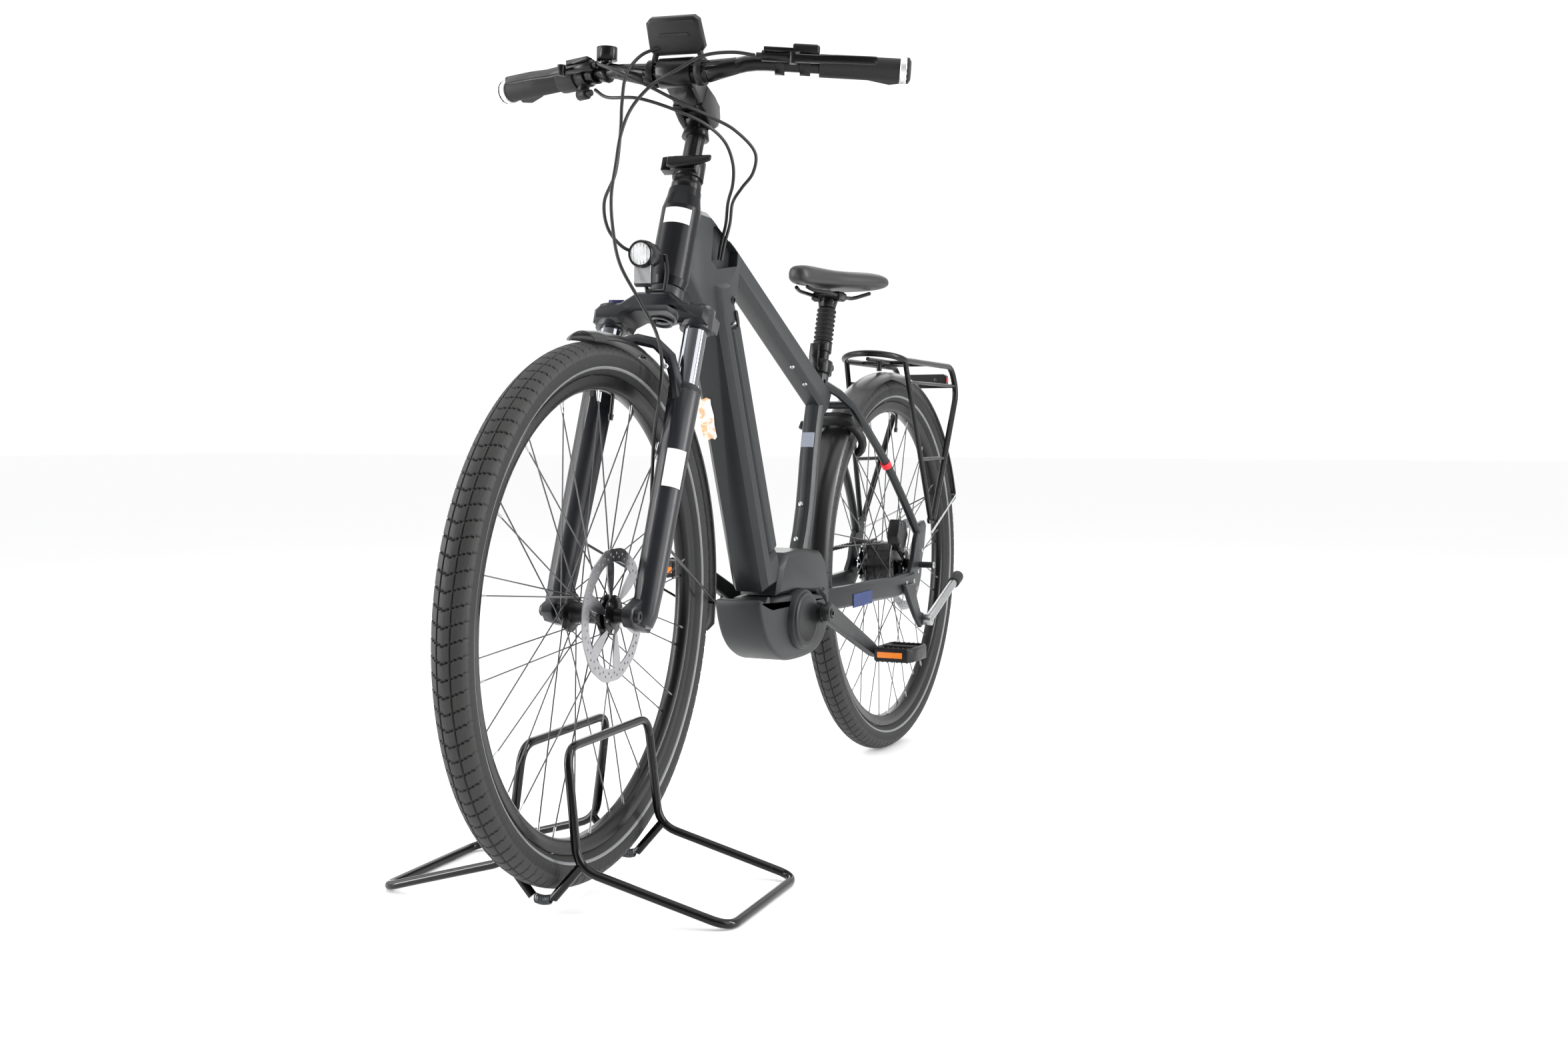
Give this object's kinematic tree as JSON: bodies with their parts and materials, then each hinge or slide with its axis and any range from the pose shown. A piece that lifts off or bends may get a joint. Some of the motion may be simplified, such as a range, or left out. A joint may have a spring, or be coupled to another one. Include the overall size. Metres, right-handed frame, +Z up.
{
  "type": "bicycle in floor stand",
  "caption": "Trekking e-bike with hub-high battery tube, sprung fork, rear carrier and mudguards, its front wheel held by a folding wire floor stand.",
  "frame": {"origin": "centre of the footprint's bounding box, on the floor", "axes": "+X to the rider's left, +Y to the rear of the bike, +Z up"},
  "size_m": [0.6622, 1.8334, 1.2142],
  "materials": {
    "frame_paint": "satin",
    "battery_plastic": "satin",
    "motor_plastic": "matte",
    "chain_steel": "oiled",
    "fender_plastic": "satin",
    "rack_paint": "satin",
    "lock_plastic": "matte",
    "brake_metal": "satin",
    "black_metal": "satin",
    "saddle_cover": "matte",
    "boot_rubber": "matte",
    "grey_metal": "satin",
    "pedal_plastic": "matte",
    "silver_metal": "satin",
    "fork_paint": "matte",
    "knob_plastic": "satin",
    "lamp_plastic": "satin",
    "grip_rubber": "matte",
    "control_plastic": "matte",
    "stand_paint": "gloss",
    "spring_steel": "satin",
    "tyre": "matte",
    "rim_paint": "satin",
    "spoke_steel": "satin",
    "hub_metal": "satin",
    "hose_rubber": "satin"
  },
  "bodies": {
    "frame": {"frame": "frame_paint", "motor_unit": "motor_plastic", "chain": "chain_steel", "rear_fender": "fender_plastic", "rack_and_rear_light": "rack_paint", "ring_lock": "lock_plastic", "rear_caliper": "brake_metal", "seat_clamp": "black_metal"},
    "battery": {"battery": "battery_plastic"},
    "seatpost": {"seatpost": "black_metal"},
    "saddle": {"saddle": "saddle_cover", "saddle_rails": "black_metal", "seat_boot": "boot_rubber"},
    "seat_lever": {"seat_lever": "black_metal"},
    "rear_wheel": {"rear_tyre": "tyre", "rear_rim": "rim_paint", "rear_spokes_left": "spoke_steel", "rear_spokes_right": "spoke_steel", "rear_hub_and_rotor": "hub_metal"},
    "cranks": {"cranks": "grey_metal", "chainring": "black_metal"},
    "pedal_left": {"pedal_left": "pedal_plastic"},
    "pedal_right": {"pedal_right": "pedal_plastic"},
    "kickstand": {"kickstand": "silver_metal"},
    "lock_lever": {"lock_lever": "lock_plastic"},
    "fork_upper": {"fork_upper": "fork_paint", "riser_clamp": "black_metal", "lamp_bracket": "black_metal"},
    "lockout_knob": {"lockout_knob": "knob_plastic"},
    "headlight": {"headlight": "lamp_plastic"},
    "riser": {"riser_tube": "black_metal"},
    "riser_lever": {"riser_lever": "black_metal"},
    "cockpit": {"stem": "black_metal", "handlebar": "black_metal", "grip_left": "grip_rubber", "grip_right": "grip_rubber", "brake_master_left": "brake_metal", "brake_master_right": "brake_metal", "shift_housing": "control_plastic", "remote": "control_plastic", "display": "control_plastic", "hose_rear_brake": "hose_rubber", "hose_front_brake": "hose_rubber", "cable_shift": "hose_rubber", "cable_lamp": "hose_rubber"},
    "brake_lever_left": {"brake_lever_left": "brake_metal"},
    "brake_lever_right": {"brake_lever_right": "brake_metal"},
    "shift_twister": {"shift_twister": "grip_rubber"},
    "fork_lowers": {"fork_lowers": "fork_paint", "front_fender": "fender_plastic", "front_caliper": "brake_metal"},
    "front_wheel": {"front_tyre": "tyre", "front_rim": "rim_paint", "front_spokes_left": "spoke_steel", "front_spokes_right": "spoke_steel", "front_hub_and_rotor": "hub_metal"},
    "stand_left": {"stand_left": "stand_paint", "stand_spring_front": "spring_steel", "stand_spring_rear": "spring_steel"},
    "stand_right": {"stand_right": "stand_paint"}
  },
  "joints": [
    {"name": "steering", "type": "hinge", "parent": "frame", "child": "fork_upper", "pos_m": [-0.00277, -0.30771, 0.89034], "axis": [0, 0.3584, 0.9336], "range_deg": [-35, 35], "deforming": ["hose_rear_brake", "cable_shift"]},
    {"name": "fork_travel", "type": "slide", "parent": "fork_upper", "child": "fork_lowers", "axis": [0, 0.3584, 0.9336], "range_m": [0, 0.045], "stiffness_N_per_m": 9000, "springref_m": -0.02, "deforming": ["hose_front_brake"]},
    {"name": "front_wheel_spin", "type": "hinge", "parent": "fork_lowers", "child": "front_wheel", "pos_m": [0.00095, -0.55665, 0.37535], "axis": [0.997, 0.0723, -0.0277], "continuous": true},
    {"name": "stand_release", "type": "slide", "parent": "fork_lowers", "child": "stand_left", "axis": [0, 0, -1], "range_m": [0, 0.25]},
    {"name": "stand_grip", "type": "hinge", "parent": "stand_left", "child": "stand_right", "pos_m": [-0.00943, -0.5518, 0.0205], "axis": [0.0723, -0.9974, 0], "range_deg": [0, 6], "stiffness_Nm_per_rad": 6, "springref_deg": -8.59, "deforming": ["stand_spring_front", "stand_spring_rear"]},
    {"name": "rear_wheel_spin", "type": "hinge", "parent": "frame", "child": "rear_wheel", "pos_m": [-0.00277, 0.55571, 0.361], "axis": [1, 0, 0], "continuous": true},
    {"name": "crank_spin", "type": "hinge", "parent": "frame", "child": "cranks", "pos_m": [-0.00277, 0.09321, 0.313], "axis": [1, 0, 0], "continuous": true},
    {"name": "pedal_left_spin", "type": "hinge", "parent": "cranks", "child": "pedal_left", "pos_m": [0.14283, 0.24699, 0.23158], "axis": [1, 0, 0], "continuous": true},
    {"name": "pedal_right_spin", "type": "hinge", "parent": "cranks", "child": "pedal_right", "pos_m": [-0.14837, -0.06056, 0.39442], "axis": [1, 0, 0], "continuous": true},
    {"name": "kickstand_fold", "type": "hinge", "parent": "frame", "child": "kickstand", "pos_m": [0.08773, 0.54821, 0.255], "axis": [1, 0, 0], "range_deg": [-85, 0]},
    {"name": "lock_slide", "type": "hinge", "parent": "frame", "child": "lock_lever", "pos_m": [-0.00277, 0.31221, 0.6057], "axis": [0, -0.7468, -0.665], "range_deg": [0, 35]},
    {"name": "battery_tilt", "type": "hinge", "parent": "frame", "child": "battery", "pos_m": [-0.00277, -0.0194, 0.43135], "axis": [-1, 0, 0], "range_deg": [0, 6]},
    {"name": "seat_height", "type": "slide", "parent": "frame", "child": "seatpost", "axis": [0, 0.2873, 0.9578], "range_m": [-0.013, 0.06]},
    {"name": "seat_spring", "type": "slide", "parent": "seatpost", "child": "saddle", "axis": [0, 0.2873, 0.9578], "range_m": [-0.03, 0], "stiffness_N_per_m": 3000, "springref_m": 0.03, "deforming": ["seat_boot"]},
    {"name": "seat_lever_turn", "type": "hinge", "parent": "frame", "child": "seat_lever", "pos_m": [-0.00277, 0.19481, 0.729], "axis": [1, 0, 0], "range_deg": [0, 55]},
    {"name": "riser_height", "type": "slide", "parent": "fork_upper", "child": "riser", "axis": [0, 0.3584, 0.9336], "range_m": [-0.03, 0.05], "deforming": ["hose_rear_brake", "hose_front_brake", "cable_shift", "cable_lamp"]},
    {"name": "riser_lever_turn", "type": "hinge", "parent": "fork_upper", "child": "riser_lever", "pos_m": [-0.02038, -0.29407, 1.01364], "axis": [0, -0.3584, -0.9336], "range_deg": [0, 80]},
    {"name": "stem_angle", "type": "hinge", "parent": "riser", "child": "cockpit", "pos_m": [-0.00253, -0.23309, 1.09306], "axis": [-0.997, -0.0723, 0.0277], "range_deg": [-15, 20], "deforming": ["hose_rear_brake", "hose_front_brake", "cable_shift", "cable_lamp"]},
    {"name": "brake_left", "type": "hinge", "parent": "cockpit", "child": "brake_lever_left", "pos_m": [0.19163, -0.32103, 1.13726], "axis": [0.0277, 0.001, 0.9996], "range_deg": [0, 10.5], "stiffness_Nm_per_rad": 0.4, "springref_deg": -17.19},
    {"name": "brake_right", "type": "hinge", "parent": "cockpit", "child": "brake_lever_right", "pos_m": [-0.16903, -0.35049, 1.1477], "axis": [-0.0277, -0.001, -0.9996], "range_deg": [0, 10.5], "stiffness_Nm_per_rad": 0.4, "springref_deg": -17.19},
    {"name": "shift_twist", "type": "hinge", "parent": "cockpit", "child": "shift_twister", "pos_m": [-0.18386, -0.29779, 1.14862], "axis": [-0.9696, 0.2446, -0.0112], "range_deg": [-40, 40]},
    {"name": "lockout_turn", "type": "hinge", "parent": "fork_upper", "child": "lockout_knob", "pos_m": [-0.06702, -0.36872, 0.80129], "axis": [0, 0.3584, 0.9336], "range_deg": [0, 90]},
    {"name": "headlight_tilt", "type": "hinge", "parent": "fork_upper", "child": "headlight", "pos_m": [0.0023, -0.38661, 0.86693], "axis": [0.997, 0.0723, -0.0277], "range_deg": [-8, 8]}
  ]
}
